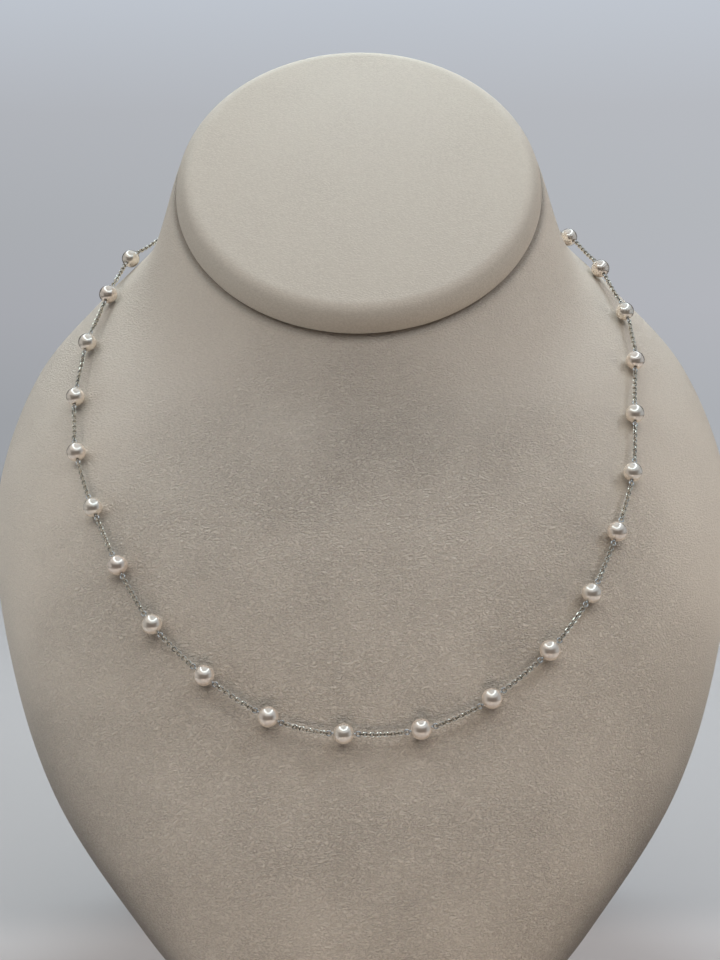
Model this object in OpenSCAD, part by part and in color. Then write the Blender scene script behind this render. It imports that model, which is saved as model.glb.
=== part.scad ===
// Station necklace of drilled pearls on a fine chain, lying on a covered neck bust.
// The bust stands on its flat foot, its chest faces -Y, and Z is up.

/* [Bust] */
// Full width across the shoulders
bust_w = 176; // [166:1:186]
// Depth from the chest to the back
bust_d = 150; // [141:1:158]
// Height of the back edge of the neck above the table
bust_h = 221; // [209:1:233]

/* [Neck cap] */
// Width of the cap from side to side
cap_w = 88; // [82:1:94]
// Length of the cap along its slope
cap_l = 93; // [86:1:100]
// Thickness of the padded cap
cap_t = 6; // [6:0.5:8]
// Radius of the rounded rim on top
cap_rim_r = 5; // [3:0.5:5]
// Radius of the rim where it meets the neck
cap_heel_r = 0.8; // [0.4:0.1:0.9]
// Rise of the padding at the middle
cap_crown = 1.2; // [0.4:0.1:3]
// Slope of the cap from level, in degrees
cap_tilt = 40; // [37:1:43]
// How far the neck stands out round the cap
neck_lip = 0.8; // [0.2:0.1:1.6]
// Gap of the seam under the cap
seam_gap = 0.2; // [0.1:0.05:0.4]

/* [Pearls] */
// Diameter of a pearl
pearl_d = 4.4; // [3.4:0.1:5]
// Number of pearls on the whole loop
pearl_n = 28; // [26:1:28]
// Distance from pearl to pearl along the necklace
pearl_step = 15.75; // [15.25:0.05:16]
// Diameter of the drilled hole
drill_d = 0.8; // [0.75:0.05:1]
// Gap between a pearl and the bust
lay_gap = 0.15; // [0.1:0.05:0.3]
// Place of the middle pearl, minus being toward the viewer's left of the chest's centre
lay_slide = -4.5; // [-7:0.1:7]

/* [Pins and chain] */
// Wire through a pearl
pin_d = 0.5; // [0.4:0.05:0.55]
// Wire of the eyes beside a pearl
eye_wire = 0.35; // [0.3:0.01:0.4]
// Hole of an eye
eye_hole = 0.6; // [0.5:0.05:0.8]
// Gap between a pearl and its eye
eye_gap = 0.12; // [0.1:0.01:0.3]
// Width of the cable chain
chain_w = 1.1; // [0.9:0.05:1.2]
// Sag of the chain between two pearls
chain_sag = 0.35; // [0:0.05:0.6]
// Gap between the chain and an eye or a ring
link_gap = 0.12; // [0.1:0.01:0.2]

/* [Clasp] */
// Outer diameter of the clasp's ring
clasp_d = 6; // [5:0.5:7]
// Thickness of the clasp's ring
clasp_wire = 1.2; // [1:0.1:1.4]
// Outer diameter of the clasp's eye
clasp_eye_d = 2; // [1.8:0.1:2.4]
// Outer diameter of the end ring
end_ring_d = 4; // [3.6:0.1:4.2]
// Wire of the end ring and of the clasp's eye
end_ring_wire = 0.6; // [0.5:0.05:0.7]

/* [Hidden] */
bust_color = [0.68, 0.64, 0.58];
cap_color = [0.76, 0.73, 0.68];
pearl_color = [0.95, 0.92, 0.89];
silver_color = [0.78, 0.79, 0.8];

// Sections of the bust from the foot to the neck, each a slanted slice.
// Depths are shares of bust_d, heights of bust_h and half widths of bust_w / 2.
// side is where the slice is widest, from its front to its back.
// squareness 2 is an ellipse, and more is a flatter front with tighter edges.
// [front depth, front height, back depth, back height, half width, side, front sq., back sq.]
SECTIONS = [
    [-0.285, 0.000, 0.285, 0.000, 0.390, 0.52, 2.6, 2.4],
    [-0.320, 0.080, 0.390, 0.105, 0.430, 0.54, 2.7, 2.5],
    [-0.325, 0.175, 0.500, 0.225, 0.635, 0.56, 2.9, 2.6],
    [-0.285, 0.275, 0.580, 0.355, 0.835, 0.53, 2.9, 2.5],
    [-0.220, 0.375, 0.615, 0.490, 0.955, 0.55, 2.7, 2.5],
    [-0.160, 0.470, 0.620, 0.620, 1.000, 0.58, 2.4, 2.4],
    [-0.085, 0.550, 0.600, 0.725, 0.915, 0.58, 2.2, 2.2],
    [-0.005, 0.615, 0.575, 0.815, 0.750, 0.52, 2.0, 2.0],
    [0.070, 0.665, 0.580, 0.890, 0.595, 0.46, 2.0, 2.0]
];
// Depth of the neck's back edge as a share of bust_d
neck_back_share = 0.605;
// Height of the necklace at every 20 degrees round the bust, as a share of bust_h.
// It starts at the middle of the chest and goes round by the viewer's right.
LAY = [
    0.395, 0.455, 0.560, 0.650, 0.710, 0.760, 0.795, 0.815, 0.845,
    0.850, 0.845, 0.820, 0.790, 0.760, 0.710, 0.635, 0.555, 0.455
];

round_n = 80;
steps_per_section = 4;
cap_round_n = 72;
rim_steps = 6;
heel_steps = 3;
crown_rings = [0.75, 0.5, 0.25];
route_degrees = 2;
tube_sides = 8;
ring_fn = 32;
pearl_fn = 48;

// Neck top and cap seat
slope = [cos(cap_tilt), sin(cap_tilt)];
neck_back = [neck_back_share * bust_d, bust_h];
neck_front = neck_back - (cap_l + 2 * neck_lip) * slope;
neck_mid = (neck_front + neck_back) / 2;
neck_half_w = cap_w / 2 + neck_lip;
neck_row = [neck_front.x, neck_front.y, neck_back.x, neck_back.y, neck_half_w, 0.5, 2, 2];
row_scale = [bust_d, bust_h, bust_d, bust_h, bust_w / 2, 1, 1, 1];
ROWS = concat([for (s = SECTIONS) [for (i = [0:7]) s[i] * row_scale[i]]], [neck_row]);
last_row = len(ROWS) - 1;

// Smooth curve through four values in a row
function blend(a, b, c, d, u) =
    (2 * b + (c - a) * u + (2 * a - 5 * b + 4 * c - d) * u * u + (3 * b - a - 3 * c + d) * u * u * u) / 2;

// Section at any place between the foot, 0, and the neck, last_row
function row_before(i) = i > 0 ? ROWS[i - 1] : 2 * ROWS[0] - ROWS[1];
function row_after(i) = i < last_row - 1 ? ROWS[i + 2] : 2 * ROWS[last_row] - ROWS[last_row - 1];
function row_at(t) =
    let (i = min(floor(t), last_row - 1))
    blend(row_before(i), ROWS[i], ROWS[i + 1], row_after(i), t - i);

// Point of a section at an angle from the middle of its front
function power(v, e) = sign(v) * pow(abs(v), e);
function section_point(row, a) =
    let (sq = cos(a) > 0 ? row[6] : row[7])
    let (depth = -power(cos(a), 2 / sq))
    let (q = depth < 0 ? row[5] * (1 + depth) : row[5] + (1 - row[5]) * depth)
    [
        power(sin(a), 2 / sq) * row[4],
        row[0] + (row[2] - row[0]) * q,
        row[1] + (row[3] - row[1]) * q
    ];
function skin(t, a) = section_point(row_at(t), a);

// Outward direction of the bust's surface
function unit(v) = v / norm(v);
function skin_normal(t, a) =
    unit(cross(skin(t, a + 1) - skin(t, a - 1), skin(t + 0.02, a) - skin(t - 0.02, a)));

// Place between two sections where the surface has the wanted height
function find_height(z, a, low, high, tries) =
    let (mid = (low + high) / 2)
    tries == 0 ? mid :
    skin(mid, a).z < z ? find_height(z, a, mid, high, tries - 1) :
    find_height(z, a, low, mid, tries - 1);

// Height of the necklace at an angle round the bust
lay_n = len(LAY);
function lay_height(a) =
    let (p = a * lay_n / 360)
    let (i = floor(p))
    bust_h * blend(
        LAY[(i + lay_n - 1) % lay_n], LAY[i % lay_n],
        LAY[(i + 1) % lay_n], LAY[(i + 2) % lay_n], p - i);

// Route of the pearl centres round the bust, with the surface's direction at each point
ROUTE = [
    for (a = [0:route_degrees:360 - route_degrees])
        let (t = find_height(lay_height(a), a, 2, last_row - 0.1, 18))
        let (out = skin_normal(t, a))
        [skin(t, a) + (pearl_d / 2 + lay_gap) * out, out]
];
route_n = len(ROUTE);
function leg(i) = norm(ROUTE[(i + 1) % route_n][0] - ROUTE[i % route_n][0]);
function run_lengths(i, sum) = i == route_n ? [sum] : concat([sum], run_lengths(i + 1, sum + leg(i)));
RUN = run_lengths(0, 0);
loop_length = RUN[route_n];

// Point and outward direction at a distance along the necklace
function wrap(s) = s < 0 ? s + loop_length : s >= loop_length ? s - loop_length : s;
function pick(s, part, axis) = lookup(wrap(s), [for (i = [0:route_n]) [RUN[i], ROUTE[i % route_n][part][axis]]]);
function along(s, part) = [for (axis = [0:2]) pick(s, part, axis)];

// Frame at a distance along the necklace: centre, across, outward and onward
function frame_at(s) =
    let (reach = pearl_d / 4)
    let (onward = unit(along(s + reach, 0) - along(s - reach, 0)))
    let (out = unit(along(s, 1) - (along(s, 1) * onward) * onward))
    [along(s, 0), cross(out, onward), out, onward];

// Stations and the clasp, counted along the loop
middle_pearl = floor(pearl_n / 2);
function station_run(k) = lay_slide + (k - middle_pearl) * pearl_step;
STATIONS = [for (k = [1:pearl_n]) frame_at(station_run(k))];
clasp_run = (station_run(1) + station_run(pearl_n) + loop_length) / 2;
CLASP = frame_at(clasp_run);

// Lengths along a pin and along the clasp
eye_r = eye_hole / 2 + eye_wire / 2;
eye_place = pearl_d / 2 + eye_gap + eye_wire / 2 + eye_r;
pin_reach = eye_place + eye_r + eye_wire / 2 + link_gap;
clasp_ring_r = (clasp_d - clasp_wire) / 2;
clasp_eye_r = (clasp_eye_d - end_ring_wire) / 2;
clasp_eye_place = clasp_ring_r + clasp_wire / 2 + clasp_eye_r - end_ring_wire / 3;
clasp_reach = clasp_eye_place + clasp_eye_d / 2 + link_gap;
end_ring_r = (end_ring_d - end_ring_wire) / 2;
end_ring_place = clasp_ring_r - clasp_wire / 2 - end_ring_wire / 2 - link_gap + end_ring_r;
end_ring_reach = end_ring_place + end_ring_d / 2 + link_gap;

function pearl_name(k) = str("pearl_", k < 10 ? "0" : "", k);

// Rings of points joined into one closed skin
module skin_of_rings(rings) {
    n = len(rings[0]);
    m = len(rings);
    walls = [
        for (j = [0:m - 2], i = [0:n - 1])
            [j * n + i, j * n + (i + 1) % n, (j + 1) * n + (i + 1) % n, (j + 1) * n + i]
    ];
    halves = [for (w = walls, h = [[0, 2, 1], [0, 3, 2]]) [for (c = h) w[c]]];
    first = [for (i = [0:n - 1]) i];
    last = [for (i = [n - 1:-1:0]) (m - 1) * n + i];
    polyhedron(points = [for (r = rings, p = r) p], faces = concat(halves, [first], [last]));
}

// Bust from the foot to the slanted neck top
module bust_body() {
    rings = [
        for (j = [0:last_row * steps_per_section])
            let (row = row_at(j / steps_per_section))
            [for (i = [0:round_n - 1]) section_point(row, i * 360 / round_n)]
    ];
    color(bust_color)
        skin_of_rings(rings);
}

// Oval ring of the cap, set in from its outline
function cap_ring(inset, height) = [
    for (i = [0:cap_round_n - 1])
        let (a = i * 360 / cap_round_n)
        [(cap_w / 2 - inset) * sin(a), -(cap_l / 2 - inset) * cos(a), height]
];
function cap_dome_ring(share) = [
    for (p = cap_ring(cap_rim_r, 0))
        [p.x * share, p.y * share, cap_t + cap_crown * (1 - share * share)]
];

// Padded cap that closes the neck
module neck_cap() {
    heel = [
        for (i = [0:heel_steps])
            let (a = 90 * i / heel_steps)
            cap_ring(cap_heel_r * (1 - sin(a)), cap_heel_r * (1 - cos(a)))
    ];
    rim = [
        for (i = [0:rim_steps])
            let (a = 90 * i / rim_steps)
            cap_ring(cap_rim_r * (1 - cos(a)), cap_t - cap_rim_r * (1 - sin(a)))
    ];
    dome = [for (share = crown_rings) cap_dome_ring(share)];
    color(cap_color)
        translate([0, neck_mid.x, neck_mid.y])
            rotate([cap_tilt, 0, 0])
                translate([0, 0, seam_gap])
                    skin_of_rings(concat(heel, rim, dome));
}

// Sets a piece made along Z onto a frame of the necklace
module on_frame(f) {
    multmatrix([
        [f[1].x, f[2].x, f[3].x, f[0].x],
        [f[1].y, f[2].y, f[3].y, f[0].y],
        [f[1].z, f[2].z, f[3].z, f[0].z],
        [0, 0, 0, 1]
    ])
        children();
}

// Ring of round wire that lies flat in X and Z
module wire_ring(r, wire) {
    rotate([90, 0, 0])
        rotate_extrude($fn = ring_fn)
            translate([r, 0])
                circle(d = wire, $fn = 16);
}

// Pearl with its drilled hole along the necklace
module pearl(k) {
    color(pearl_color)
        on_frame(STATIONS[k - 1])
            difference() {
                sphere(d = pearl_d, $fn = pearl_fn);
                cylinder(d = drill_d, h = 2 * pearl_d, center = true, $fn = 24);
            }
}

// Wire through a pearl with an eye at each end
module station_pin() {
    half = eye_place - eye_r;
    cylinder(d = pin_d, h = 2 * half, center = true, $fn = 24);
    for (side = [-1, 1])
        translate([0, 0, side * eye_place])
            wire_ring(eye_r, eye_wire);
}

module station_pins() {
    color(silver_color)
        for (f = STATIONS)
            on_frame(f)
                station_pin();
}

// Tube through three points, standing for one stretch of cable chain
module chain_stretch(from, to, out) {
    way = unit(to - from);
    side = unit(cross(way, out));
    up = cross(side, way);
    level = 1 - abs(way.z);
    mid = (from + to) / 2 - [0, 0, chain_sag * level];
    rings = [
        for (p = [from, mid, to])
            [for (i = [0:tube_sides - 1])
                let (a = -i * 360 / tube_sides)
                p + chain_w / 2 * (cos(a) * up + sin(a) * side)]
    ];
    skin_of_rings(rings);
}

// Place on a frame, some way onward from its centre
function onward(f, way) = f[0] + way * f[3];

// Chain from eye to eye, and to the clasp at the back of the neck
module chain() {
    color(silver_color) {
        for (k = [0:pearl_n - 2])
            chain_stretch(
                onward(STATIONS[k], pin_reach),
                onward(STATIONS[k + 1], -pin_reach),
                STATIONS[k][2] + STATIONS[k + 1][2]);
        chain_stretch(
            onward(STATIONS[pearl_n - 1], pin_reach),
            onward(CLASP, -clasp_reach),
            STATIONS[pearl_n - 1][2] + CLASP[2]);
        chain_stretch(
            onward(CLASP, end_ring_reach),
            onward(STATIONS[0], -pin_reach),
            CLASP[2] + STATIONS[0][2]);
    }
}

// Plain closed clasp ring with its eye, flat against the neck
module clasp() {
    color(silver_color)
        on_frame(CLASP) {
            wire_ring(clasp_ring_r, clasp_wire);
            translate([0, 0, -clasp_eye_place])
                wire_ring(clasp_eye_r, end_ring_wire);
        }
}

// Ring on the chain's other end, hooked through the clasp
module end_ring() {
    color(silver_color)
        on_frame(CLASP)
            translate([0, 0, end_ring_place])
                rotate([0, 0, 90])
                    wire_ring(end_ring_r, end_ring_wire);
}

bust_body();
neck_cap();
for (k = [1:pearl_n])
    pearl(k);
station_pins();
chain();
clasp();
end_ring();
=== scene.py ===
"""Station necklace of pearls on a neck bust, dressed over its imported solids."""

import math

import bpy
import numpy as np
from mathutils import Matrix, Vector


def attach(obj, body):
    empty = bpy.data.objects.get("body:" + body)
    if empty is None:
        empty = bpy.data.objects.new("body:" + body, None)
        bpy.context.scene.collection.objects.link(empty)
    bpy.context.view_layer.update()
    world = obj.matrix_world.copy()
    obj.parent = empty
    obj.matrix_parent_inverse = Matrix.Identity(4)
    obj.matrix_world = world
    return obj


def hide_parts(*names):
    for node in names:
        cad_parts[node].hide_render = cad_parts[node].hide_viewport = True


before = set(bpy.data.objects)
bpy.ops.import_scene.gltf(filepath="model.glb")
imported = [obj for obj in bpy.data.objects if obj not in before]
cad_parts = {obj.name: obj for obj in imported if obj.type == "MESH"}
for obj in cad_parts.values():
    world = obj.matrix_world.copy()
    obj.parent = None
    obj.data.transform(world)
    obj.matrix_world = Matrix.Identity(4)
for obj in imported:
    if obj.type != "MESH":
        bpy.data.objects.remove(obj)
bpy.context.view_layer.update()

# Lengths are in millimetres up to the meshes, which are in metres
MM = 0.001

# Sizes of the bust and its cap
BUST_W = 176
BUST_D = 150
BUST_H = 221
CAP_W = 88
CAP_L = 93
CAP_T = 6
CAP_RIM_R = 5
CAP_HEEL_R = 0.8
CAP_CROWN = 1.2
CAP_TILT = math.radians(40)
NECK_LIP = 0.8
NECK_EDGE_R = 0.6
SEAM_GAP = 0.2

# Sizes of the necklace
PEARL_D = 4.4
PEARL_N = 28
PEARL_STEP = 15.75
DRILL_D = 0.8
LAY_GAP = 0.15
LAY_SLIDE = -4.5
EYE_WIRE = 0.35
EYE_HOLE = 0.6
EYE_GAP = 0.12
CHAIN_SAG = 0.35
CLASP_D = 6
CLASP_WIRE = 1.2
CLASP_EYE_D = 2
END_RING_D = 4
END_RING_WIRE = 0.6
LINK_GAP = 0.12

# Links of the chain: the two at the clasp and at the end ring are larger, and those between
# a stretch's ends lie flat or edge on to the viewer, who is at the front and a little above
LINK_L = 1.32
LINK_W = 1.1
LINK_WIRE = 0.32
LINK_PITCH = 0.7
HOOK_PLAY = 0.01
END_LINK_SIZE = 1.5
FACING = np.array([0, -0.92, 0.39])
LINK_SIDES = 14
WIRE_SIDES = 6

# Random turns in radians, of a stretch and of a link or a pearl, and a pearl's random loss
# of size; the pearls also turn evenly along the necklace
LINK_STRAY = 0.25
LINK_WOBBLE = 0.12
PEARL_WOBBLE = 1.0
PEARL_SHRINK = 0.02
PEARL_LAST_TURN = 40

# Sections of the bust from the foot to the neck: depths, heights and half widths as
# shares, the place of the widest point, and how square the front and the back are
SECTIONS = [
    (-0.285, 0.000, 0.285, 0.000, 0.390, 0.52, 2.6, 2.4),
    (-0.320, 0.080, 0.390, 0.105, 0.430, 0.54, 2.7, 2.5),
    (-0.325, 0.175, 0.500, 0.225, 0.635, 0.56, 2.9, 2.6),
    (-0.285, 0.275, 0.580, 0.355, 0.835, 0.53, 2.9, 2.5),
    (-0.220, 0.375, 0.615, 0.490, 0.955, 0.55, 2.7, 2.5),
    (-0.160, 0.470, 0.620, 0.620, 1.000, 0.58, 2.4, 2.4),
    (-0.085, 0.550, 0.600, 0.725, 0.915, 0.58, 2.2, 2.2),
    (-0.005, 0.615, 0.575, 0.815, 0.750, 0.52, 2.0, 2.0),
    (0.070, 0.665, 0.580, 0.890, 0.595, 0.46, 2.0, 2.0),
]
NECK_BACK_SHARE = 0.605

# Heights of the pearls' line at even turns round the bust from the middle of its front,
# as shares of the bust's height
LAY = [
    0.395, 0.455, 0.560, 0.650, 0.710, 0.760, 0.795, 0.815, 0.845,
    0.850, 0.845, 0.820, 0.790, 0.760, 0.710, 0.635, 0.555, 0.455,
]

# How finely the meshes and the route are divided
BUST_COLUMNS = 320
BUST_ROWS_PER_SECTION = 17
CAP_COLUMNS = 288
HEEL_POINTS = 9
RIM_POINTS = 19
CROWN_POINTS = 25
PEARL_COLUMNS = 40
PEARL_ROWS = 27
ROUTE_STEP = 2
ROUTE_HALVINGS = 18

# Rings across the foot and the neck's top, as shares of their outlines, and under the cap
FOOT_SHARES = (0.3, 0.6, 0.9, 0.985)
NECK_SHARES = (0.85, 0.5)
EDGE_TURNS = np.radians([18, 36, 54, 72, 90])
EDGE_START = 0.045
HEEL_INSETS = (6, 0.3)

SEED = 7
ROUND = np.linspace(0, 2 * np.pi, 96, endpoint=False)
QUARTER = np.pi / 2

# Painted shade on the cover and the cap, with a painted shadow below each pearl: how dark,
# then the reach or the heights in millimetres, and how far a place has to face the front
UNDER_CAP = (0.17, 42, (0.2, 0.6))
AT_SEAM = (0.35, 1.2, (-0.2, 0.6))
LOWER_SIDES = (0.62, (45, 112), (0.55, 1.0))
AT_FOOT = (0.05, (50, 80))
SHOULDERS = (0.09, (115, 150))
BELOW_PEARL = (1.1, 1.35)
PEARL_SHADE_DROP = 2.0
DARKEST = 0.85
CAP_RIM_SHADE = (0.2, (0.75, 1.0), (0.1, 0.7))


# The bust's surface

def neck_seat():
    """Front and back ends of the neck's slanted top."""
    slope = np.array([math.cos(CAP_TILT), math.sin(CAP_TILT)])
    back = np.array([NECK_BACK_SHARE * BUST_D, BUST_H])
    return back - (CAP_L + 2 * NECK_LIP) * slope, back


def bust_rows():
    front, back = neck_seat()
    scale = np.array([BUST_D, BUST_H, BUST_D, BUST_H, BUST_W / 2, 1, 1, 1])
    neck = [front[0], front[1], back[0], back[1], CAP_W / 2 + NECK_LIP, 0.5, 2, 2]
    return np.vstack([np.array(SECTIONS) * scale, neck])


ROWS = bust_rows()
LAST_ROW = len(ROWS) - 1


def blend(a, b, c, d, u):
    """A smooth curve's value between b and c, at a share u of the way."""
    square = (2 * a - 5 * b + 4 * c - d) * u**2
    cube = (3 * b - a - 3 * c + d) * u**3
    return (2 * b + (c - a) * u + square + cube) / 2


def row_at(t):
    i = min(int(t), LAST_ROW - 1)
    before = ROWS[i - 1] if i > 0 else 2 * ROWS[0] - ROWS[1]
    after = ROWS[i + 2] if i < LAST_ROW - 1 else 2 * ROWS[-1] - ROWS[-2]
    return blend(before, ROWS[i], ROWS[i + 1], after, t - i)


def power(v, e):
    return np.sign(v) * np.abs(v) ** e


def section_points(row, angle):
    """Points of a section at angles from the middle of its front, toward +X."""
    front = np.cos(angle) > 0
    e = 2 / np.where(front, row[6], row[7])
    depth = -power(np.cos(angle), e)
    q = np.where(depth < 0, row[5] * (1 + depth), row[5] + (1 - row[5]) * depth)
    x = power(np.sin(angle), e) * row[4]
    y = row[0] + (row[2] - row[0]) * q
    z = row[1] + (row[3] - row[1]) * q
    return np.stack([x, y, z], axis=-1)


def skin(t, degrees):
    return section_points(row_at(t), np.radians(np.array([float(degrees)])))[0]


def unit(v):
    return v / np.linalg.norm(v)


def skin_normal(t, degrees):
    across = skin(t, degrees + 1) - skin(t, degrees - 1)
    upward = skin(t + 0.02, degrees) - skin(t - 0.02, degrees)
    return unit(np.cross(across, upward))


def even_section(t, columns):
    """A section's points at even distances round it, from the middle of its front."""
    dense = section_points(row_at(t), np.linspace(0, 2 * np.pi, 2881))
    run = np.concatenate([[0], np.cumsum(np.linalg.norm(np.diff(dense, axis=0), axis=1))])
    wanted = np.arange(columns) * run[-1] / columns
    return np.stack([np.interp(wanted, run, dense[:, k]) for k in range(3)], axis=-1)


# The necklace's route

def lay_height(degrees):
    n = len(LAY)
    p = degrees * n / 360
    i = int(p)
    near = [LAY[(i + k) % n] for k in (-1, 0, 1, 2)]
    return BUST_H * blend(*near, p - i)


def place_at_height(z, degrees):
    """The row, with a share of the next, at which the surface reaches a height."""
    low, high = 2.0, LAST_ROW - 0.1
    for _ in range(ROUTE_HALVINGS):
        middle = (low + high) / 2
        if skin(middle, degrees)[2] < z:
            low = middle
        else:
            high = middle
    return (low + high) / 2


def necklace_route():
    """Points of the pearls' line round the bust, and the outward direction at each."""
    points, outs = [], []
    for degrees in range(0, 360, ROUTE_STEP):
        t = place_at_height(lay_height(degrees), degrees)
        out = skin_normal(t, degrees)
        points.append(skin(t, degrees) + (PEARL_D / 2 + LAY_GAP) * out)
        outs.append(out)
    return np.array(points), np.array(outs)


ROUTE, ROUTE_OUT = necklace_route()
CLOSED = np.vstack([ROUTE, ROUTE[:1]])
CLOSED_OUT = np.vstack([ROUTE_OUT, ROUTE_OUT[:1]])
RUN = np.concatenate([[0], np.cumsum(np.linalg.norm(np.diff(CLOSED, axis=0), axis=1))])
LOOP = RUN[-1]


def along(s, table=CLOSED):
    """The route's point, or another table's value, at a distance along the necklace."""
    return np.array([np.interp(s % LOOP, RUN, table[:, k]) for k in range(3)])


def frame_at(s):
    """Centre, outward and onward directions at a distance along the necklace."""
    reach = PEARL_D / 4
    onward = unit(along(s + reach) - along(s - reach))
    out = along(s, CLOSED_OUT)
    return along(s), unit(out - out.dot(onward) * onward), onward


def station_run(k):
    return LAY_SLIDE + (k - PEARL_N // 2) * PEARL_STEP


STATIONS = [frame_at(station_run(k)) for k in range(1, PEARL_N + 1)]
CLASP = frame_at((station_run(1) + station_run(PEARL_N) + LOOP) / 2)


# Meshes

def new_mesh(name, points, faces):
    mesh = bpy.data.meshes.new(name)
    mesh.from_pydata((np.asarray(points, dtype=float) * MM).tolist(), [], faces)
    mesh.update()
    return mesh


def new_piece(name, mesh):
    piece = bpy.data.objects.new(name, mesh)
    bpy.context.scene.collection.objects.link(piece)
    return piece


def ring_skin(rings, low_centre, high_centre):
    """Points and faces of closed rings, with a fan to each centre; the low one can be None."""
    n = len(rings[0])
    points = [p for ring in rings for p in ring]
    faces = []
    for j in range(len(rings) - 1):
        a, b = j * n, (j + 1) * n
        faces += [(a + i, a + (i + 1) % n, b + (i + 1) % n, b + i) for i in range(n)]
    if low_centre is not None:
        points.append(low_centre)
        c = len(points) - 1
        faces += [((i + 1) % n, i, c) for i in range(n)]
    points.append(high_centre)
    c = len(points) - 1
    top = (len(rings) - 1) * n
    faces += [(top + i, top + (i + 1) % n, c) for i in range(n)]
    return np.array(points), faces


def bust_skin():
    """The cover of the bust, with a rolled edge at the neck and a flat foot."""
    front, back = neck_seat()
    middle = np.array([0, *(front + back) / 2])
    stop = LAST_ROW - EDGE_START
    levels = np.linspace(0, stop, LAST_ROW * BUST_ROWS_PER_SECTION + 1)
    rings = [even_section(t, BUST_COLUMNS) for t in levels]
    side_end = rings[-1]
    top = even_section(LAST_ROW, BUST_COLUMNS)
    inward = middle - top
    inward /= np.linalg.norm(inward, axis=1, keepdims=True)
    for turn in EDGE_TURNS:
        ring = side_end * (1 - math.sin(turn)) + top * math.sin(turn)
        rings.append(ring + inward * NECK_EDGE_R * (1 - math.cos(turn)))
    for share in NECK_SHARES:
        rings.append(middle + (top - middle) * share)
    foot = rings[0]
    under = [foot * np.array([s, s, 1]) for s in FOOT_SHARES]
    return ring_skin(under + rings, np.zeros(3), middle)


def cap_skin():
    """The covered cap: a turned-in heel, a rounded rim and a slightly crowned top."""
    front, back = neck_seat()
    around = np.linspace(0, 2 * np.pi, CAP_COLUMNS, endpoint=False)

    def oval(inset, height):
        x = (CAP_W / 2 - inset) * np.sin(around)
        y = -(CAP_L / 2 - inset) * np.cos(around)
        return np.stack([x, y, np.full(CAP_COLUMNS, height)], axis=-1)

    rings = [oval(CAP_HEEL_R + inset, 0) for inset in HEEL_INSETS]
    for a in np.linspace(0, QUARTER, HEEL_POINTS):
        rings.append(oval(CAP_HEEL_R * (1 - math.sin(a)), CAP_HEEL_R * (1 - math.cos(a))))
    rings.append(oval(0, (CAP_HEEL_R + CAP_T - CAP_RIM_R) / 2))
    for a in np.linspace(0, QUARTER, RIM_POINTS):
        rings.append(oval(CAP_RIM_R * (1 - math.cos(a)), CAP_T - CAP_RIM_R * (1 - math.sin(a))))
    for share in np.linspace(1, 0, CROWN_POINTS)[1:-1]:
        ring = oval(CAP_RIM_R, 0) * share
        ring[:, 2] = CAP_T + CAP_CROWN * (1 - share * share)
        rings.append(ring)
    points, faces = ring_skin(rings, np.zeros(3), np.array([0, 0, CAP_T + CAP_CROWN]))
    points[:, 2] += SEAM_GAP
    c, s = math.cos(CAP_TILT), math.sin(CAP_TILT)
    seat = (front + back) / 2
    y = points[:, 1] * c - points[:, 2] * s + seat[0]
    z = points[:, 1] * s + points[:, 2] * c + seat[1]
    return np.stack([points[:, 0], y, z], axis=-1), faces


def shade_piece(piece, darkness):
    """Stores how much painted shade darkens the plain leather at each point of a piece."""
    layer = piece.data.attributes.new("shade", "FLOAT", "POINT")
    layer.data.foreach_set("value", np.asarray(darkness, dtype=np.float32))


def mesh_arrays(piece):
    """Places in millimetres and normals of a piece's points."""
    n = len(piece.data.vertices)
    places = np.empty(n * 3)
    normals = np.empty(n * 3)
    piece.data.vertices.foreach_get("co", places)
    piece.data.vertices.foreach_get("normal", normals)
    return places.reshape(n, 3) / MM, normals.reshape(n, 3)


def smooth(v, low, high):
    """0 below low, 1 above high, and a smooth rise between."""
    u = np.clip((v - low) / (high - low), 0, 1)
    return u * u * (3 - 2 * u)


def bust_shade(places, normals):
    """Painted shade under the cap, on the shoulders, low at the sides and below each pearl."""
    grid = places[:-2].reshape(-1, BUST_COLUMNS, 3)
    away = np.zeros(len(places))
    away[:-2] = np.linalg.norm(grid - grid[-3], axis=2).ravel()
    x, z = places[:, 0], places[:, 2]
    front = -normals[:, 1]
    depth, reach, facing = UNDER_CAP
    middle = np.exp(-(x / reach) ** 2) * smooth(front, *facing)
    dark = depth * middle * np.exp(-(away / reach) ** 2)
    depth, reach, facing = AT_SEAM
    dark += depth * np.exp(-(away / reach) ** 2) * smooth(front, *facing)
    depth, (low, high), facing = LOWER_SIDES
    dark += depth * smooth(-z, -high, -low) * (1 - smooth(front, *facing))
    depth, (low, high) = AT_FOOT
    dark += depth * smooth(-z, -high, -low)
    depth, (low, high) = SHOULDERS
    dark += depth * smooth(z, low, high)
    # A painted shadow below each pearl, on the leather under its foot
    depth, reach = BELOW_PEARL
    for centre, out, _ in STATIONS:
        foot = centre - out * (PEARL_D / 2) - np.array([0, 0, PEARL_SHADE_DROP])
        dark += depth * np.exp(-np.sum((places - foot) ** 2, axis=1) / reach ** 2)
    return np.clip(dark, 0, DARKEST)


def cap_shade(normals):
    """Painted shade where the rim turns down at the front."""
    up = np.array([0, -math.sin(CAP_TILT), math.cos(CAP_TILT)])
    depth, level, facing = CAP_RIM_SHADE
    return depth * (1 - smooth(normals @ up, *level)) * smooth(-normals[:, 1], *facing)


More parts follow.
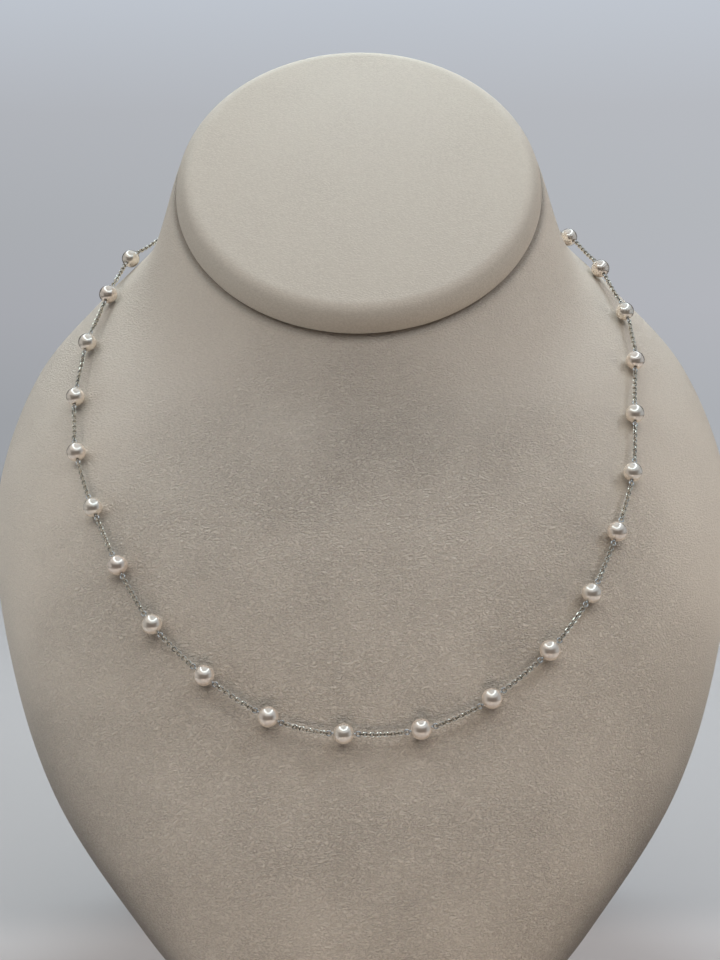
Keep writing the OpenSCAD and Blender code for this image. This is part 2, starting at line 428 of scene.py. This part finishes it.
def pearl_skin():
    """A drilled pearl along Z, with the drilled edge a little rounded."""
    r, hole, soft, wall = PEARL_D / 2, DRILL_D / 2, 0.05, 1.2
    edge = math.asin((hole + soft) / r)
    rim = r * math.cos(edge)
    profile = [(hole, -wall), (hole, 0), (hole, wall), (hole, rim - soft)]
    profile += [(hole + soft * 0.3, rim - soft * 0.3)]
    for a in np.linspace(edge, np.pi - edge, PEARL_ROWS):
        profile.append((r * math.sin(a), r * math.cos(a)))
    profile += [(hole + soft * 0.3, -rim + soft * 0.3), (hole, -rim + soft)]
    around = np.linspace(0, 2 * np.pi, PEARL_COLUMNS, endpoint=False)
    n = len(around)
    points = [(p * math.cos(a), p * math.sin(a), z) for p, z in profile for a in around]
    faces = []
    m = len(profile)
    for j in range(m):
        a, b = j * n, (j + 1) % m * n
        faces += [(a + i, b + i, b + (i + 1) % n, a + (i + 1) % n) for i in range(n)]
    return np.array(points), faces


# Node trees

class Num:
    """A number in a node tree that Python's operators work on."""

    def __init__(self, tree, socket):
        self.tree = tree
        self.socket = socket

    def math(self, operation, *values, clamp=False):
        settings = {"operation": operation, "use_clamp": clamp}
        made = self.tree.node("ShaderNodeMath", settings, dict(enumerate(values)))
        return Num(self.tree, made.outputs[0])

    def __add__(self, other):
        return self.math("ADD", self, other)

    def __sub__(self, other):
        return self.math("SUBTRACT", self, other)

    def __rsub__(self, other):
        return self.math("SUBTRACT", other, self)

    def __mul__(self, other):
        return self.math("MULTIPLY", self, other)

    def __truediv__(self, other):
        return self.math("DIVIDE", self, other)

    def __neg__(self):
        return self.math("MULTIPLY", self, -1)

    def __abs__(self):
        return self.math("ABSOLUTE", self)

    __radd__ = __add__
    __rmul__ = __mul__

    def held(self):
        """The number kept between 0 and 1."""
        return self.math("ADD", self, 0, clamp=True)

    def step(self, low, high):
        """0 below low, 1 above high, and a smooth rise between."""
        settings = {"interpolation_type": "SMOOTHSTEP"}
        inputs = {"Value": self, "From Min": low, "From Max": high}
        return Num(self.tree, self.tree.node("ShaderNodeMapRange", settings, inputs).outputs[0])


class Tree:
    """A node tree and the few ways in which this script adds to it."""

    def __init__(self, tree):
        self.tree = tree

    def put(self, socket, value):
        if isinstance(value, Num):
            value = value.socket
        if isinstance(value, bpy.types.NodeSocket):
            self.tree.links.new(value, socket)
        else:
            socket.default_value = value

    def node(self, kind, settings=None, inputs=None):
        """Adds any node: its settings first, then the values or links of its sockets."""
        made = self.tree.nodes.new(kind)
        for name, value in (settings or {}).items():
            if name == "stops":
                self.set_stops(made.color_ramp.elements, value)
            else:
                setattr(made, name, value)
        for name, value in (inputs or {}).items():
            self.put(made.inputs[name], value)
        return made

    def set_stops(self, elements, stops):
        while len(elements) < len(stops):
            elements.new(1)
        for element, (place, shade) in zip(elements, stops):
            element.position = place
            element.color = shade

    def num(self, kind, settings=None, inputs=None, output=0):
        return Num(self, self.node(kind, settings, inputs).outputs[output])

    def axes(self, vector):
        parts = self.node("ShaderNodeSeparateXYZ", None, {0: vector})
        return [Num(self, parts.outputs[k]) for k in range(3)]

    def mix(self, amount, a, b):
        """Colour a turned into colour b by an amount."""
        settings = {"data_type": "RGBA"}
        return self.node("ShaderNodeMix", settings, {0: amount, 6: a, 7: b}).outputs[2]

    def noise(self, scale, detail, roughness=0.5, distortion=0.0, place=None):
        inputs = {"Vector": place or self.coords, "Scale": scale, "Detail": detail}
        inputs |= {"Roughness": roughness, "Distortion": distortion}
        return self.num("ShaderNodeTexNoise", None, inputs)

    def bump(self, height, distance, strength):
        inputs = {"Height": height, "Distance": distance, "Strength": strength}
        return self.node("ShaderNodeBump", None, inputs).outputs["Normal"]


class Finish(Tree):
    """A material and its shader tree, in the object's own coordinates."""

    def __init__(self, name):
        self.material = bpy.data.materials.new(name)
        self.material.use_nodes = True
        self.material.node_tree.nodes.clear()
        super().__init__(self.material.node_tree)
        self.coords = self.node("ShaderNodeTexCoord").outputs["Object"]

    def end(self, shader):
        self.node("ShaderNodeOutputMaterial", None, {0: shader.outputs[0]})
        return self.material

    def close(self, inputs):
        """Ends the tree in one surface shader with these sockets."""
        return self.end(self.node("ShaderNodeBsdfPrincipled", None, inputs))


def rgb(r, g, b):
    """A colour given as it looks on a screen, 0 to 255."""
    def line(v):
        v /= 255
        return v / 12.92 if v <= 0.04045 else ((v + 0.055) / 1.055) ** 2.4
    return (line(r), line(g), line(b), 1)


# The stage's colours and lights

# Two lit ovals above the bust: the height of both, then for each its half widths, the width
# of its band, the place of its middle, its power, its gap toward the back and its colour
BAND_POINTS = 97
RING_Z = 430
RING_HALF = (300, 200)
RING_BAND = 70
RING_Y = 46
RING_POWER = 2.7
RING_GAP = 0
RING_COLOUR = (1, 1, 1, 1)
GLINT_HALF = (225, 420)
GLINT_BAND = 55
GLINT_Y = 200
GLINT_POWER = 2.6
GLINT_GAP = math.radians(50)
GLINT_COLOUR = (0.8, 0.98, 1.1, 1)

# The table top, with where it fades out and where a painted glow lifts the shade, in metres
FLOOR = rgb(192, 188, 187)
FLOOR_R = 560
FLOOR_ROUGHNESS = 0.8
FLOOR_FADE = (0.30, 0.55)
FLOOR_GLOW = 0.3
GLOW_AROUND = (0.06, 0.2)
GLOW_BEHIND = (0.028, 0.05)
GLOW_BEFORE = (0.0, 0.1)

# The dome that only polish mirrors: its rows, the shares of its radius in height and to the
# side at which its light rises, and its colours
SKY_R = 1000
SKY_LIFTS = np.radians(np.linspace(-5, 85, 19))
SKY_RISE = (0.44, 0.7)
SKY_SIDES = (0.65, 0.95)
SKY_SIDE_POWER = 0.6
SKY_LEFT = (0.52, 0.53, 0.54, 1)
SKY_RIGHT = (0.42, 0.51, 0.6, 1)

# The room's light: dark up to the first heights, then weak from the front and soft from the
# sides, and strong from the top past the second heights
ROOM_LOW = (0.05, 0.3)
ROOM_HIGH = (0.75, 0.95)
SURROUND = {
    "front": (0.014, 0.008, 0.005),
    "side": (0.1, 0.1, 0.1),
    "top": (0.6, 0.6, 0.6),
}

# Soft lamps: place, the point that each faces, its size, its power and its colour
LAMPS = {
    "behind_above": ((0, 226, 430), (0, 226, 0), 120, 1.03, (0.75, 0.91, 1.0)),
    "left_above": ((-300, -24, 430), (-300, -24, 0), 120, 0.22, (1.0, 0.98, 0.98)),
    "right_above": ((300, -24, 430), (300, -24, 0), 120, 0.38, (0.78, 0.85, 1.0)),
    "front_below": ((0, -324, 10), (0, -24, 120), 240, 0.5, (1.0, 0.86, 0.76)),
    "left": ((-600, -74, 150), (0, 26, 100), 400, 0.82, (0.84, 0.93, 1.0)),
    "right": ((600, -74, 150), (0, 26, 100), 400, 0.92, (1.0, 0.92, 0.82)),
}

# What the camera sees behind the bust, from low to high, and how its sides differ
BACKDROP_LEAN = 0.15
BACKDROP_TWIST = 1.2
BACKDROP = [
    (0.08, rgb(165, 168, 173)),
    (0.22, rgb(173, 175, 181)),
    (0.34, rgb(175, 178, 183)),
    (0.48, rgb(180, 183, 189)),
    (0.62, rgb(191, 197, 206)),
]


# Finishes

# The grain of the leatherette: its ridges, the smaller ones, where they are deeper, and the
# places that differ a little in colour, as scales of noise; then the colour of its deepest
# painted shade
DRAWN_OUT = 0.55
NET_SCALE = 1900
SMALL_SCALE = 3000
PATCH_SCALE = 60
CLOUD_SCALE = 9
IN_SHADE = rgb(40, 28, 15)

# The chest, where the grain's relief and its painted crease shade are deepest: its middle, the
# distances at which they get shallower, in metres, and what is left of them past them
CHEST = ((0, -0.03, 0.09), 0.055, 0.095, 0.4)
FINE_BUMP = 0.000008


def leatherette(name, pale, deep, shade, grain, fade=None):
    """Fine leatherette: low ridges drawn out sideways, with painted shade in the creases
    between.
    """
    f = Finish(name)
    x, y, z = f.axes(f.coords)
    drawn = f.node("ShaderNodeCombineXYZ", None, {0: x * DRAWN_OUT, 1: y, 2: z}).outputs[0]
    net = abs(f.noise(NET_SCALE, 1.0, 0.5, 0.2, drawn) * 2 - 1)
    small = abs(f.noise(SMALL_SCALE, 0.0, 0.5, 0.0, drawn) * 2 - 1)
    patch = f.noise(PATCH_SCALE, 1.0)
    cloud = f.noise(CLOUD_SCALE, 1.0)
    relief = (net * 2.4).held() * 0.7 + (small * 2.0).held() * 0.3
    depth = 0.55 + 0.9 * patch
    if fade is not None:
        place, near, wide, least = fade
        away = f.node("ShaderNodeVectorMath", {"operation": "DISTANCE"}, {0: f.coords, 1: place})
        grain_thinning = Num(f, away.outputs["Value"]).step(near, wide)
        depth = depth * (1 - grain_thinning * (1 - least))
    low = (1 - relief).held()
    base = f.mix(cloud.step(0.3, 0.7), pale, deep)
    # The creases are darkened toward the shade colour: painted shade
    base = f.mix(low * low * low * depth * 0.45, base, shade)
    # Painted shade from the mesh's shade layer darkens the colour toward IN_SHADE
    shade_here = f.num("ShaderNodeAttribute", {"attribute_name": "shade"}, None, "Fac")
    base = f.mix(shade_here, base, IN_SHADE)
    return f.close({
        "Base Color": base,
        "Roughness": 0.55 + 0.1 * low,
        "Specular IOR Level": 0.35,
        "Normal": f.bump(relief * depth, grain, 1.0),
    })


def nacre():
    """Creamy nacre with a rosy tone that differs from pearl to pearl."""
    f = Finish("nacre")
    tone = f.num("ShaderNodeAttribute", {"attribute_name": "tone"}, None, "Fac")
    veil = f.noise(420, 1.0, 0.5, 0.6)
    base = f.mix((tone * 0.8 + veil * 0.2).held(), rgb(252, 242, 226), rgb(250, 234, 218))
    return f.close({
        "Base Color": base,
        "Roughness": 0.05 + 0.05 * veil,
        "Metallic": 0.65,
        "Coat Weight": 1.0,
        "Coat Roughness": 0.04,
        "Coat IOR": 1.7,
        "Normal": f.bump(veil, FINE_BUMP, 0.5),
    })


def silver(name, rough, tint):
    """Polished silver with faint drawing marks, and painted shade on the inner side of chain
    links.
    """
    f = Finish(name)
    marks = f.noise(2600, 2.0, 0.6, 0.2)
    film = f.noise(300, 1.0)
    base = f.mix((film * 0.5 + marks * 0.3).held(), tint, rgb(190, 182, 170))
    inside = f.num("ShaderNodeAttribute", {"attribute_name": "inside"}, None, "Fac")
    # Painted shade on the inner side of each link's wire, toward its hole
    base = f.mix(inside.step(0.35, 0.8), base, rgb(52, 46, 38))
    return f.close({
        "Base Color": base,
        "Roughness": rough + 0.08 * film,
        "Metallic": 1.0,
        "Normal": f.bump(marks, FINE_BUMP, 0.5),
    })


# Pieces that repeat along the necklace

class Layer(Tree):
    """A geometry tree that lays a shape on every point of a cloud."""

    def __init__(self, name, inputs):
        super().__init__(bpy.data.node_groups.new(name, "GeometryNodeTree"))
        face = self.tree.interface
        face.new_socket("Geometry", in_out="INPUT", socket_type="NodeSocketGeometry")
        face.new_socket("Geometry", in_out="OUTPUT", socket_type="NodeSocketGeometry")
        for label, kind in inputs.items():
            face.new_socket(label, in_out="INPUT", socket_type="NodeSocket" + kind)
        self.given = self.node("NodeGroupInput").outputs
        self.last = self.node("NodeGroupOutput")

    def named(self, label, kind):
        settings = {"data_type": kind}
        return self.node("GeometryNodeInputNamedAttribute", settings, {"Name": label}).outputs[0]

    def chance(self, low, high):
        settings = {"data_type": "FLOAT"}
        inputs = {2: low, 3: high, "Seed": self.given["Seed"]}
        return self.num("FunctionNodeRandomValue", settings, inputs, 1)

    def lay(self, shape, soft=True):
        """The shape's Z follows the point's onward direction, rolled about it."""
        lie = self.node(
            "FunctionNodeAxesToRotation", {"primary_axis": "Z", "secondary_axis": "Y"}, {
                "Primary Axis": self.named("onward", "FLOAT_VECTOR"),
                "Secondary Axis": self.named("outward", "FLOAT_VECTOR")}).outputs[0]
        wobble = Num(self, self.given["Wobble"])
        roll = Num(self, self.named("roll", "FLOAT")) + self.chance(-wobble, wobble)
        about = {"Axis": (0, 0, 1), "Angle": roll}
        about = self.node("FunctionNodeAxisAngleToRotation", None, about).outputs[0]
        settings = {"rotation_space": "LOCAL"}
        turned = {"Rotation": lie, "Rotate By": about}
        turned = self.node("FunctionNodeRotateRotation", settings, turned).outputs[0]
        laid = self.node("GeometryNodeInstanceOnPoints", None, {
            "Points": self.given["Geometry"],
            "Instance": shape,
            "Rotation": turned,
            "Scale": Num(self, self.named("size", "FLOAT")) * self.chance(
                1 - Num(self, self.given["Shrink"]), 1.0)})
        kept = self.node(
            "GeometryNodeStoreNamedAttribute", {"data_type": "FLOAT", "domain": "INSTANCE"}, {
                "Geometry": laid.outputs[0], "Name": "tone", "Value": self.chance(0.0, 1.0)})
        real = self.node("GeometryNodeRealizeInstances", None, {"Geometry": kept.outputs[0]})
        shaded = self.node("GeometryNodeSetShadeSmooth", None, {
            0: real.outputs[0], "Shade Smooth": soft})
        dressed = self.node("GeometryNodeSetMaterial", None, {
            "Geometry": shaded.outputs[0], "Material": self.given["Finish"]})
        self.put(self.last.inputs[0], dressed.outputs[0])
        return self.tree


def pearl_tree():
    t = Layer("pearls along the necklace", {
        "Pearl": "Object", "Wobble": "Float", "Shrink": "Float", "Seed": "Int",
        "Finish": "Material"})
    pearl = t.node("GeometryNodeObjectInfo", None, {"Object": t.given["Pearl"]})
    return t.lay(pearl.outputs["Geometry"])


def link_tree():
    """A link is a circle of wire pulled out along Z."""
    t = Layer("links along the chain", {
        "Link length": "Float", "Link width": "Float", "Wire": "Float", "Wobble": "Float",
        "Shrink": "Float", "Seed": "Int", "Finish": "Material"})
    length, width, wire = (Num(t, t.given[k]) for k in ("Link length", "Link width", "Wire"))
    ring = t.node("GeometryNodeCurvePrimitiveCircle", None, {
        "Resolution": LINK_SIDES, "Radius": (width - wire) / 2}).outputs[0]
    x, y, _ = t.axes(t.node("GeometryNodeInputPosition").outputs[0])
    pulled = x + x.math("SIGN", x) * (length - width) / 2
    stood = t.node("ShaderNodeCombineXYZ", None, {0: y, 1: 0.0, 2: pulled}).outputs[0]
    oval = t.node("GeometryNodeSetPosition", None, {"Geometry": ring, "Position": stood})
    round_wire = t.node("GeometryNodeCurvePrimitiveCircle", None, {
        "Resolution": WIRE_SIDES, "Radius": wire / 2}).outputs[0]
    link = t.node("GeometryNodeCurveToMesh", None, {
        "Curve": oval.outputs[0], "Profile Curve": round_wire})
    middle = t.node("GeometryNodeInputPosition").outputs[0]
    middle = t.node("ShaderNodeVectorMath", {"operation": "NORMALIZE"}, {0: middle}).outputs[0]
    outer = t.num("ShaderNodeVectorMath", {"operation": "DOT_PRODUCT"}, {
        0: middle, 1: t.node("GeometryNodeInputNormal").outputs[0]}, "Value")
    # Marks the inner side of the wire, toward the link's hole, for painted shade
    marked = t.node(
        "GeometryNodeStoreNamedAttribute", {"data_type": "FLOAT", "domain": "POINT"}, {
            "Geometry": link.outputs[0], "Name": "inside", "Value": (0.5 - outer * 0.5).held()})
    return t.lay(marked.outputs[0], soft=False)


def points_piece(name, places, outs, onwards, rolls, sizes):
    """A cloud of points that carries each piece's directions."""
    mesh = new_mesh(name, places, [])
    for label, values, kind in (
        ("outward", outs, "FLOAT_VECTOR"),
        ("onward", onwards, "FLOAT_VECTOR"),
        ("roll", rolls, "FLOAT"),
        ("size", sizes, "FLOAT"),
    ):
        layer = mesh.attributes.new(label, kind, "POINT")
        key = "vector" if kind == "FLOAT_VECTOR" else "value"
        layer.data.foreach_set(key, np.asarray(values, dtype=np.float32).ravel())
    return new_piece(name, mesh)


def bake(name, points, tree, values):
    """Runs a tree on a cloud of points and keeps its result as a plain mesh."""
    step = points.modifiers.new("lay", "NODES")
    step.node_group = tree
    for item in tree.interface.items_tree:
        if item.in_out == "INPUT" and item.name in values:
            step[item.identifier] = values[item.name]
    graph = bpy.context.evaluated_depsgraph_get()
    mesh = bpy.data.meshes.new_from_object(points.evaluated_get(graph), depsgraph=graph)
    bpy.data.objects.remove(points)
    mesh.name = name
    return new_piece(name, mesh)


def stretch_links(start, finish, out_a, out_b, first_size, last_size, roll, stray):
    """Places of one stretch's links, from the first one's near end to the last one's far end."""
    span = np.linalg.norm(finish - start)
    way = (finish - start) / span
    reach = LINK_L - LINK_WIRE
    first_more = (first_size - 1) * reach / 2
    last_more = (last_size - 1) * reach / 2
    low, high = reach / 2 + first_more, span - reach / 2 - last_more
    even = high - low - first_more - last_more
    count = 1 + 2 * round(even / LINK_PITCH / 2)
    steps = np.full(count - 1, even / (count - 1))
    steps[0] += first_more
    steps[-1] += last_more
    middles = low + np.concatenate([[0], np.cumsum(steps)])
    level = 1 - abs(way[2])
    places, outs, onwards, rolls, sizes = [], [], [], [], []
    for i, middle in enumerate(middles):
        u = middle / span
        share = i / (count - 1)
        sag = 4 * u * (1 - u) * CHAIN_SAG * level
        dip = np.array([0, 0, (2 * u - 1) * 4 * CHAIN_SAG * level / span])
        onward = unit(way + dip)
        out = out_a * (1 - u) + out_b * u
        out = unit(out - out.dot(onward) * onward)
        toward = math.atan2(-FACING.dot(np.cross(out, onward)), FACING.dot(out))
        turn = (toward - roll + QUARTER / 2) % QUARTER - QUARTER / 2
        held = min(1, 4 * share, 4 * (1 - share))
        places.append(start + way * middle - np.array([0, 0, sag]))
        outs.append(out)
        onwards.append(onward)
        rolls.append(roll + i * QUARTER + (turn + stray) * held)
        sizes.append(first_size if i == 0 else last_size if i == count - 1 else 1)
    return places, outs, onwards, rolls, sizes


def chain_points():
    """All links of the chain, hooked into the eyes, the clasp and the end ring."""
    chance = np.random.default_rng(SEED)
    eye_r = (EYE_HOLE + EYE_WIRE) / 2
    eye_place = PEARL_D / 2 + EYE_GAP + EYE_WIRE / 2 + eye_r
    hook = eye_place + EYE_HOLE / 2 - LINK_WIRE / 2 - HOOK_PLAY
    ring_r = (CLASP_D - CLASP_WIRE) / 2
    clasp_eye_r = (CLASP_EYE_D - END_RING_WIRE) / 2
    clasp_eye = ring_r + CLASP_WIRE / 2 + clasp_eye_r - END_RING_WIRE / 3
    end_wire = LINK_WIRE * END_LINK_SIZE
    clasp_hook = clasp_eye + CLASP_EYE_D / 2 - END_RING_WIRE - end_wire / 2 - HOOK_PLAY
    end_r = (END_RING_D - END_RING_WIRE) / 2
    end_place = ring_r - CLASP_WIRE / 2 - END_RING_WIRE / 2 - LINK_GAP + end_r
    end_hook = end_place + END_RING_D / 2 - END_RING_WIRE - end_wire / 2 - HOOK_PLAY
    ends = []
    for k in range(PEARL_N - 1):
        ends.append((STATIONS[k], hook, 1, STATIONS[k + 1], hook, 1, QUARTER))
    ends.append((STATIONS[-1], hook, 1, CLASP, clasp_hook, END_LINK_SIZE, QUARTER))
    ends.append((CLASP, end_hook, END_LINK_SIZE, STATIONS[0], hook, 1, 0))
    gathered = [[], [], [], [], []]
    for a, way_a, size_a, b, way_b, size_b, roll in ends:
        start = a[0] + way_a * a[2]
        finish = b[0] - way_b * b[2]
        stray = chance.uniform(-LINK_STRAY, LINK_STRAY)
        made = stretch_links(start, finish, a[1], b[1], size_a, size_b, roll, stray)
        for kept, new in zip(gathered, made):
            kept += new
    return [np.array(v) for v in gathered]


# The camera stands where the photograph was taken from. Its place is in metres, and its
# reach is its focal length over the longer side of the picture, both in pixels

CAMERA_PLACE = (-0.00056, -0.301, 0.213)
CAMERA_DOWN = math.radians(15)
CAMERA_ROLL = math.radians(-0.7)
CAMERA_SENSOR = 36
CAMERA_REACH = 1442 / 960


def photo_camera():
    data = bpy.data.cameras.new("camera")
    data.sensor_width = CAMERA_SENSOR
    data.lens = CAMERA_SENSOR * CAMERA_REACH
    data.clip_start = 0.01
    data.clip_end = 20
    camera = bpy.data.objects.new("camera", data)
    bpy.context.scene.collection.objects.link(camera)
    place = Matrix.Translation(CAMERA_PLACE)
    tip = Matrix.Rotation(QUARTER - CAMERA_DOWN, 4, "X")
    roll = Matrix.Rotation(CAMERA_ROLL, 4, "Z")
    camera.matrix_world = place @ tip @ roll
    bpy.context.scene.camera = camera


def floor():
    """A pale table top that fades out into the backdrop, with a painted glow round the foot."""
    f = Finish("floor")
    length = {"operation": "LENGTH"}
    far = f.num("ShaderNodeVectorMath", length, {0: f.coords}, "Value")
    _, y, _ = f.axes(f.coords)
    near = (1 - y.step(*GLOW_BEHIND)) * (1 - far.step(*GLOW_AROUND))
    near = near * (1 - (-y).step(*GLOW_BEFORE))
    # The emission is painted light that lightens the bust's shadow on the table round the foot
    paper = f.node("ShaderNodeBsdfPrincipled", None, {
        "Base Color": FLOOR, "Roughness": FLOOR_ROUGHNESS, "Emission Color": FLOOR,
        "Emission Strength": near * FLOOR_GLOW})
    clear = f.node("ShaderNodeBsdfTransparent")
    inputs = {0: far.step(*FLOOR_FADE), 1: paper.outputs[0], 2: clear.outputs[0]}
    material = f.end(f.node("ShaderNodeMixShader", None, inputs))
    ring = [(FLOOR_R * math.cos(a), FLOOR_R * math.sin(a), 0) for a in ROUND]
    piece = new_piece("floor", new_mesh("floor", ring, [tuple(range(len(ring)))]))
    piece.data.materials.append(material)


def lit_band(name, half, band, centre_y, power, colour, gap):
    """A level oval band of light above the bust, open toward the back by a gap."""
    f = Finish(name)
    material = f.end(f.node("ShaderNodeEmission", None, {"Color": colour, "Strength": power}))
    turn = np.linspace(QUARTER + gap / 2, 5 * QUARTER - gap / 2, BAND_POINTS)

    def oval(grow):
        a, b = half[0] + grow, half[1] + grow
        return [(a * math.cos(v), b * math.sin(v) + centre_y, RING_Z) for v in turn]

    n = len(turn)
    faces = [(i, i + 1, n + i + 1, n + i) for i in range(n - 1)]
    piece = new_piece(name, new_mesh(name, oval(-band / 2) + oval(band / 2), faces))
    piece.data.materials.append(material)
    piece.visible_camera = False
    piece.visible_shadow = False
    return piece


def ring_light():
    """A soft ring that lights the leather, and another that only polish mirrors."""
    soft = lit_band(
        "ring_light", RING_HALF, RING_BAND, RING_Y, RING_POWER, RING_COLOUR, RING_GAP)
    soft.visible_glossy = False
    glint = lit_band(
        "ring_glint", GLINT_HALF, GLINT_BAND, GLINT_Y, GLINT_POWER, GLINT_COLOUR, GLINT_GAP)
    glint.visible_diffuse = False


def sky():
    """A soft dome that only polish mirrors: light above, dark toward the front."""
    f = Finish("sky")
    x, _, z = f.axes(f.coords)
    share = 1 / (SKY_R * MM)
    across = (x * share + 0.5).held()
    rise = (z * share).step(*SKY_RISE)
    sides = abs(x * share).step(*SKY_SIDES)
    material = f.end(f.node("ShaderNodeEmission", None, {
        "Color": f.mix(across, SKY_LEFT, SKY_RIGHT),
        "Strength": rise + (1 - rise) * sides * SKY_SIDE_POWER}))
    rings = []
    for lift in SKY_LIFTS:
        reach, height = SKY_R * math.cos(lift), SKY_R * math.sin(lift)
        rings.append([(reach * math.cos(a), reach * math.sin(a), height) for a in ROUND])
    piece = new_piece("sky", new_mesh("sky", *ring_skin(rings, None, (0, 0, SKY_R))))
    piece.data.materials.append(material)
    piece.visible_camera = False
    piece.visible_diffuse = False
    piece.visible_shadow = False


def lamps():
    for name, (place, aim, size, power, colour) in LAMPS.items():
        data = bpy.data.lights.new(name, "AREA")
        data.shape = "DISK"
        data.size = size * MM
        data.energy = power
        data.color = colour
        lamp = bpy.data.objects.new(name, data)
        bpy.context.scene.collection.objects.link(lamp)
        way = Vector(aim) - Vector(place)
        lie = way.to_track_quat("-Z", "Y").to_matrix().to_4x4()
        lamp.matrix_world = Matrix.Translation(Vector(place) * MM) @ lie
        lamp.visible_camera = False
        lamp.visible_glossy = False


def surround():
    """The room: what the camera sees behind the bust, and what lights it."""
    world = bpy.data.worlds.new("surround")
    world.use_nodes = True
    bpy.context.scene.world = world
    world.node_tree.nodes.clear()
    t = Tree(world.node_tree)
    way = t.node("ShaderNodeTexCoord").outputs["Generated"]
    x, y, z = t.axes(way)
    low = 1 - z.step(*ROOM_LOW)
    high = z.step(*ROOM_HIGH)
    shares = {
        "front": (1 - low) * (1 - high) * (-y).held(),
        "side": (1 - low) * (1 - high) * abs(x),
        "top": high,
    }
    total = (0, 0, 0)
    for name, share in shares.items():
        part = t.node("ShaderNodeVectorMath", {"operation": "SCALE"}, {
            0: SURROUND[name], "Scale": share}).outputs[0]
        total = t.node("ShaderNodeVectorMath", None, {0: total, 1: part}).outputs[0]
    seen = t.node("ShaderNodeValToRGB", {"stops": BACKDROP}, {0: (z * 2 + 0.5).held()})
    side = 1 + x * (BACKDROP_LEAN - z * BACKDROP_TWIST)
    seen = t.node("ShaderNodeVectorMath", {"operation": "SCALE"}, {
        0: seen.outputs[0], "Scale": side})
    camera_ray = t.node("ShaderNodeLightPath").outputs["Is Camera Ray"]
    lights = t.node("ShaderNodeBackground", None, {"Color": total})
    shown = t.node("ShaderNodeBackground", None, {"Color": seen.outputs[0]})
    both = t.node("ShaderNodeMixShader", None, {
        0: camera_ray, 1: lights.outputs[0], 2: shown.outputs[0]})
    t.node("ShaderNodeOutputWorld", None, {0: both.outputs[0]})


def finish_piece(piece, material, slot, *nodes):
    if material is not None:
        piece.data.materials.clear()
        piece.data.materials.append(material)
    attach(piece, "root")
    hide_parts(*nodes)


photo_camera()
bpy.context.scene.view_settings.view_transform = "Standard"
floor()
ring_light()
sky()
lamps()
surround()

# The third colour of each leatherette is the painted shade in its creases
cover = leatherette(
    "bust leatherette", rgb(221, 211, 197), rgb(216, 205, 190), rgb(124, 109, 94), 0.00038,
    CHEST)
cap_cover = leatherette(
    "cap leatherette", rgb(206, 197, 183), rgb(201, 191, 177), rgb(176, 165, 152), 0.00003)
pearl_finish = nacre()
chain_silver = silver("chain silver", 0.06, rgb(255, 246, 228))
wire_silver = silver("wire silver", 0.14, rgb(230, 229, 227))
clasp_silver = silver("clasp silver", 0.16, rgb(228, 228, 227))

bust = new_piece("bust_cover", new_mesh("bust_cover", *bust_skin()))
bust.data.shade_smooth()
bust.data.set_sharp_from_angle(angle=math.radians(50))
shade_piece(bust, bust_shade(*mesh_arrays(bust)))
finish_piece(bust, cover, "bust_cover", "bust_body")

cap = new_piece("cap_cover", new_mesh("cap_cover", *cap_skin()))
cap.data.shade_smooth()
shade_piece(cap, cap_shade(mesh_arrays(cap)[1]))
finish_piece(cap, cap_cover, "cap_cover", "neck_cap")

master = new_piece("pearl_master", new_mesh("pearl_master", *pearl_skin()))
cloud = points_piece(
    "pearl_places",
    [s[0] for s in STATIONS], [s[1] for s in STATIONS], [s[2] for s in STATIONS],
    np.linspace(0, PEARL_LAST_TURN, PEARL_N), np.ones(PEARL_N))
pearls = bake("pearls", cloud, pearl_tree(), {
    "Pearl": master, "Wobble": PEARL_WOBBLE, "Shrink": PEARL_SHRINK, "Seed": SEED,
    "Finish": pearl_finish})
bpy.data.objects.remove(master)
finish_piece(pearls, None, "pearl", *[f"pearl_{k:02d}" for k in range(1, PEARL_N + 1)])

cloud = points_piece("link_places", *chain_points())
chain = bake("chain_links", cloud, link_tree(), {
    "Link length": LINK_L * MM, "Link width": LINK_W * MM, "Wire": LINK_WIRE * MM,
    "Wobble": LINK_WOBBLE, "Shrink": 0.0, "Seed": SEED + 3, "Finish": chain_silver})
finish_piece(chain, None, "silver_chain", "chain")

kept_solids = {"station_pins": wire_silver, "clasp": clasp_silver, "end_ring": clasp_silver}
for node, finish in kept_solids.items():
    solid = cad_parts[node]
    solid.data.materials.clear()
    solid.data.materials.append(finish)
